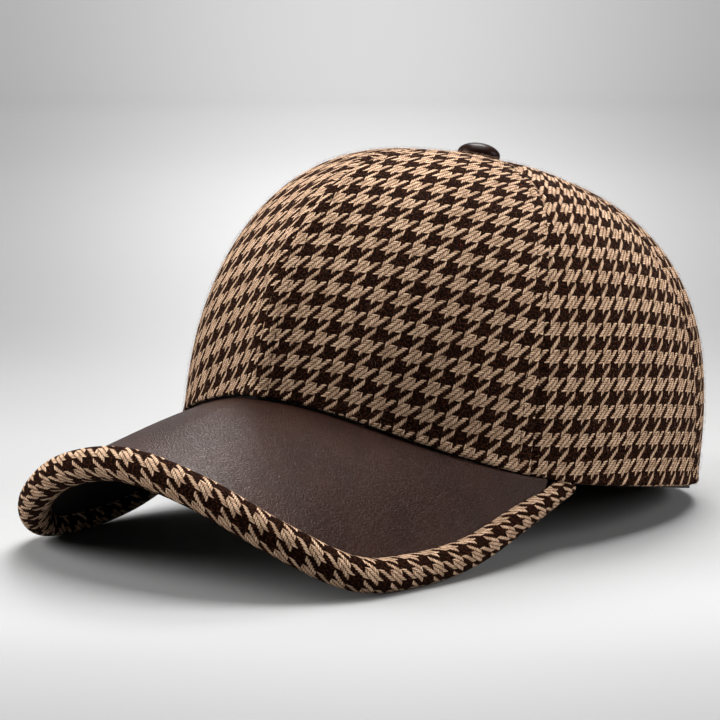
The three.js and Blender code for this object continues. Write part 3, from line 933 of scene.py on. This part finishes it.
def rolled_edge_tree(t, given, result):
    """The cloth rolled over the visor's edge: an open round section swept along a line. It
    starts above the leather, goes round the outside and ends under the board."""
    line = t.node("GeometryNodeMeshToCurve", {"Mesh": given["Geometry"]}).outputs[0]
    section = t.node("GeometryNodeCurvePrimitiveLine").outputs[0]
    section = t.node("GeometryNodeResampleCurve", {"Curve": section, "Count": given["Sides"]}
                     ).outputs[0]
    share = t.node("GeometryNodeSplineParameter").outputs["Factor"]
    section = t.node("GeometryNodeStoreNamedAttribute",
                     {"Geometry": section, "Name": "way_round", "Value": share}).outputs[0]
    sheet = t.node("GeometryNodeCurveToMesh", {0: line, 1: section}).outputs[0]
    radius = t.kept("radius_here")
    along = t.kept("way_along")
    lip = t.math("ARCSINE", t.math("DIVIDE", given["Lip height"], radius))
    far_lip = t.math("SUBTRACT", 2 * math.pi, lip)
    angle = t.lerp(t.kept("way_round"), lip, far_lip)
    place = t.kept("centre", "FLOAT_VECTOR")
    for arm, turned in (("inward", "COSINE"), ("up", "SINE")):
        size = t.math("MULTIPLY", radius, t.math(turned, angle))
        way = t.vector_math("SCALE", t.kept(arm, "FLOAT_VECTOR"), size)
        place = t.vector_math("ADD", place, way)
    sheet = t.node("GeometryNodeSetPosition", {"Geometry": sheet, "Position": place}).outputs[0]
    u = t.math("DIVIDE", t.math("SUBTRACT", given["Star row"], angle), given["Row step"])
    from_star = t.math("SUBTRACT", along, given["Star along"])
    shifted = t.math("MULTIPLY_ADD", u, given["Row shift"], from_star)
    stretch = t.math("MULTIPLY", t.math("MULTIPLY", from_star, from_star), given["Stretch"])
    v = t.math("ADD", t.math("DIVIDE", shifted, given["Repeat"]), stretch)
    sheet = t.node("GeometryNodeStoreNamedAttribute",
                   {"Geometry": sheet, "Name": "check", "Value": t.vector(u, v)},
                   data_type="FLOAT2", domain="CORNER").outputs[0]
    inner = t.node("GeometryNodeExtrudeMesh",
                   {"Mesh": sheet, "Offset Scale": t.math("SUBTRACT", given["Bore"], radius),
                    "Individual": False}).outputs[0]
    inner = t.node("GeometryNodeFlipFaces", {"Mesh": inner}).outputs[0]
    both = t.node("GeometryNodeJoinGeometry")
    t.put(both.inputs[0], inner)
    t.put(both.inputs[0], sheet)
    shell = t.node("GeometryNodeMergeByDistance", {"Geometry": both.outputs[0],
                                                   "Distance": 1e-6}).outputs[0]
    end_tree(t, given, result, shell, True)


rolled_edge = grown_mesh("rolled_edge", edge_path(), rolled_edge_tree, {
    "Sides": ROLL_SIDES, "Lip height": (SHEETS / 2 + CLEARANCE) * MM, "Bore": ROLL_BORE * MM,
    "Star row": math.radians(ROLL_CHECK["star_row"]),
    "Row step": math.radians(ROLL_CHECK["row_step"]),
    "Star along": ROLL_CHECK["star_along"], "Row shift": ROLL_CHECK["row_shift"],
    "Stretch": ROLL_CHECK["stretch"], "Repeat": ROLL_CHECK["repeat"], "Material": edge_cloth})
dress(rolled_edge, "visor_binding")


def build_button():
    """The button with its shank and washer, turned round its axis and set on the tip."""
    foot = 2 * CLEARANCE
    washer_top = -CLOTH - foot
    outline = [(0.0, washer_top - WASHER["thickness"]),
               (WASHER["radius"], washer_top - WASHER["thickness"]),
               (WASHER["radius"], washer_top), (SHANK_RADIUS, washer_top),
               (SHANK_RADIUS, foot), (BUTTON_FOOT, foot)]
    for angle in np.linspace(BUTTON_TUCK, np.pi / 2, BUTTON_RINGS):
        outline.append((BUTTON_RADIUS * math.cos(angle),
                        foot + BUTTON_BULGE + (BUTTON_HEIGHT - BUTTON_BULGE) * math.sin(angle)))
    turn = np.linspace(0, 2 * np.pi, BUTTON_SIDES, endpoint=False)
    points = [(0, 0, outline[0][1])]
    for radius, height in outline[1:-1]:
        points += [(radius * math.cos(a), radius * math.sin(a), height) for a in turn]
    points.append((0, 0, outline[-1][1]))
    faces = grid_faces(len(outline) - 2, BUTTON_SIDES, True, 1)
    last = len(points) - 1
    ring = last - BUTTON_SIDES
    for column in range(BUTTON_SIDES):
        after = (column + 1) % BUTTON_SIDES
        faces.append((0, 1 + after, 1 + column))
        faces.append((last, ring + column, ring + after))
    beside_tip = 0.04
    rise = math.pi / 2 - beside_tip
    across = crown_point(math.pi / 2, rise) - crown_point(-math.pi / 2, rise)
    back = crown_point(math.pi, rise) - crown_point(0.0, rise)
    normal = Vector(np.cross(across, back)).normalized()
    spin = Vector((0, 0, 1)).rotation_difference(normal).to_matrix()
    points = np.asarray(points) @ np.array(spin).T + crown_point(0.0, np.pi / 2)
    return mesh_object("button_dome", points, faces, {}, gloss)


dress(build_button(), "top_button")


def fibre_tree(t, given, result):
    """Loose wool fibres: short bent hairs, scattered over the cloth's face."""
    spread = t.node("GeometryNodeDistributePointsOnFaces",
                    {"Mesh": given["Geometry"], "Seed": FIBRE_SEED["place"],
                     "Density": t.math("MULTIPLY", given["Density"], t.kept("face_out"))})
    hair = t.node("GeometryNodeCurveQuadraticBezier",
                  {"Resolution": 3, **FIBRE_BEND}).outputs[0]
    round_section = t.node("GeometryNodeCurvePrimitiveCircle",
                           {"Resolution": 3, "Radius": given["Thickness"]}).outputs[0]
    hair = t.node("GeometryNodeCurveToMesh",
                  {0: hair, 1: round_section, "Fill Caps": True}).outputs[0]
    spin = t.node("FunctionNodeRandomValue",
                  {"Min": (0, 0, 0), "Max": (0, 0, 2 * math.pi), "Seed": FIBRE_SEED["spin"]},
                  data_type="FLOAT_VECTOR").outputs[0]
    turned = t.node("FunctionNodeRotateRotation",
                    {0: spread.outputs["Rotation"],
                     1: t.node("FunctionNodeEulerToRotation", {0: spin}).outputs[0]},
                    rotation_space="LOCAL").outputs[0]
    size = t.node("FunctionNodeRandomValue",
                  {2: t.math("MULTIPLY", given["Length"], FIBRE["shortest"]),
                   3: given["Length"], "Seed": FIBRE_SEED["length"]}).outputs[1]
    hairs = t.node("GeometryNodeInstanceOnPoints",
                   {"Points": spread.outputs["Points"], "Instance": hair, "Rotation": turned,
                    "Scale": size}).outputs[0]
    end_tree(t, given, result, hairs, False)


for panel in panels:
    fibres = grown_mesh(panel.name.replace("panel", "wool_fibres"),
                        place_mesh("fibre_ground", panel.data.copy()), fibre_tree,
                        {"Density": FIBRE["per_mm2"] / MM ** 2, "Length": FIBRE["length"] * MM,
                         "Thickness": FIBRE["thickness"] / FIBRE["length"],
                         "Material": wool_fibre})
    dress(fibres, None)


def graded(t, value, stops):
    """A grey that runs through stops of (value, grey)."""
    low, high = stops[0][0], stops[-1][0]
    share = t.math("DIVIDE", t.math("SUBTRACT", value, low), high - low)
    scale = t.node("ShaderNodeValToRGB", {0: share})
    scale.color_ramp.interpolation = "B_SPLINE"
    marks = scale.color_ramp.elements
    while len(marks) < len(stops):
        marks.new(0.5)
    for mark, (place, grey) in zip(marks, stops):
        mark.position = (place - low) / (high - low)
        mark.color = (grey, grey, grey, 1)
    return scale.outputs[0]


def painted_light_stage_finish(t, shader):
    """White paper with painted light: brightest by the cap, as a painted pool of light, and
    painted darker toward its far corners, as shade.
    """
    x, y, _ = t.split(t.place())
    c, s = math.cos(CAMERA_AZIMUTH), math.sin(CAMERA_AZIMUTH)
    back = t.math("MULTIPLY_ADD", x, -s, t.math("MULTIPLY", y, c))
    across = t.math("MULTIPLY_ADD", x, c, t.math("MULTIPLY", y, s))
    from_camera = t.math("MAXIMUM", t.math("ADD", back, PAINTED_LIGHT_FAN["start"]), PAINTED_LIGHT_FAN["least"])
    fan = t.math("DIVIDE", across, from_camera)
    side = t.ramp(t.math("ABSOLUTE", fan), 0.0, PAINTED_LIGHT_FAN["edge"])
    # Painted light: greys brightest by the cap, falling to painted shade at the sides and far
    # corners
    middle = graded(t, back, PAINTED_LIGHT_MIDDLE)
    edge = graded(t, back, PAINTED_LIGHT_EDGE)
    t.put(shader["Base Color"], t.mix(side, middle, edge))


def build_stage():
    """A floor that curves up into a wall behind the cap, square to the camera."""
    bend = np.radians(np.linspace(0, 90, 24))
    radius = STAGE["bend"]
    floor = [STAGE[key] for key in ("front", "near", "far", "wall")]
    back = np.concatenate([floor, STAGE["wall"] + radius * np.sin(bend[1:]),
                           [STAGE["wall"] + radius]])
    height = np.concatenate([np.zeros(len(floor)), radius * (1 - np.cos(bend[1:])),
                             [STAGE["height"]]])
    c, s = math.cos(CAMERA_AZIMUTH), math.sin(CAMERA_AZIMUTH)
    half = STAGE["half_width"]
    points = [((across * c - b * s) / MM, (across * s + b * c) / MM, h / MM)
              for b, h in zip(back, height) for across in (-half, half)]
    paper = finish_material("stage_paper_painted_light", painted_light_stage_finish, Roughness=0.9, Specular_IOR_Level=0.1)
    mesh_object("pale_floor", points, grid_faces(len(back), 2, False), {}, paper)


build_stage()


def softbox(name, place, target, size, power):
    """A rectangular lamp at a place, turned to a target."""
    lamp = bpy.data.lights.new(name, "AREA")
    lamp.shape = "RECTANGLE"
    lamp.size, lamp.size_y = size
    lamp.energy = power
    obj = bpy.data.objects.new(name, lamp)
    obj.location = place
    obj.rotation_euler = (place - target).to_track_quat("Z", "Y").to_euler()
    bpy.context.scene.collection.objects.link(obj)


for name, azimuth, elevation, distance, size, power in SOFTBOXES:
    a, e = math.radians(azimuth), math.radians(elevation)
    away = Vector((math.sin(a) * math.cos(e), -math.cos(a) * math.cos(e), math.sin(e)))
    softbox(name, CAP_MIDDLE + away * distance, CAP_MIDDLE, size, power)
ahead = Vector((-math.sin(CAMERA_AZIMUTH), math.cos(CAMERA_AZIMUTH), 0))
lamp_place = ahead * WALL_LAMP["back"] + Vector((0, 0, WALL_LAMP["height"]))
lamp_target = ahead * WALL_LAMP["target_back"] + Vector((0, 0, WALL_LAMP["target_height"]))
softbox("wall_lamp", lamp_place, lamp_target, WALL_LAMP["size"], WALL_LAMP["power"])

world = bpy.data.worlds.new("soft_room")
world.use_nodes = True
sky = world.node_tree.nodes["Background"].inputs
sky["Color"].default_value = (1, 1, 1, 1)
sky["Strength"].default_value = ROOM_LIGHT
bpy.context.scene.world = world

camera = bpy.data.cameras.new("camera")
camera.lens = CAMERA_LENS
camera.sensor_width = SENSOR_WIDTH
camera.sensor_fit = "HORIZONTAL"
camera.clip_start = NEAREST
camera_object = bpy.data.objects.new("camera", camera)
toward_camera = Vector((math.sin(CAMERA_AZIMUTH) * math.cos(CAMERA_ELEVATION),
                        -math.cos(CAMERA_AZIMUTH) * math.cos(CAMERA_ELEVATION),
                        math.sin(CAMERA_ELEVATION)))
right = Vector((math.cos(CAMERA_AZIMUTH), math.sin(CAMERA_AZIMUTH), 0))
placed = Matrix((right, toward_camera.cross(right), toward_camera)).transposed().to_4x4()
placed.translation = Vector(CAMERA_PLACE)
camera_object.matrix_world = placed
bpy.context.scene.collection.objects.link(camera_object)
bpy.context.scene.camera = camera_object

bpy.context.scene.view_settings.view_transform = "Standard"
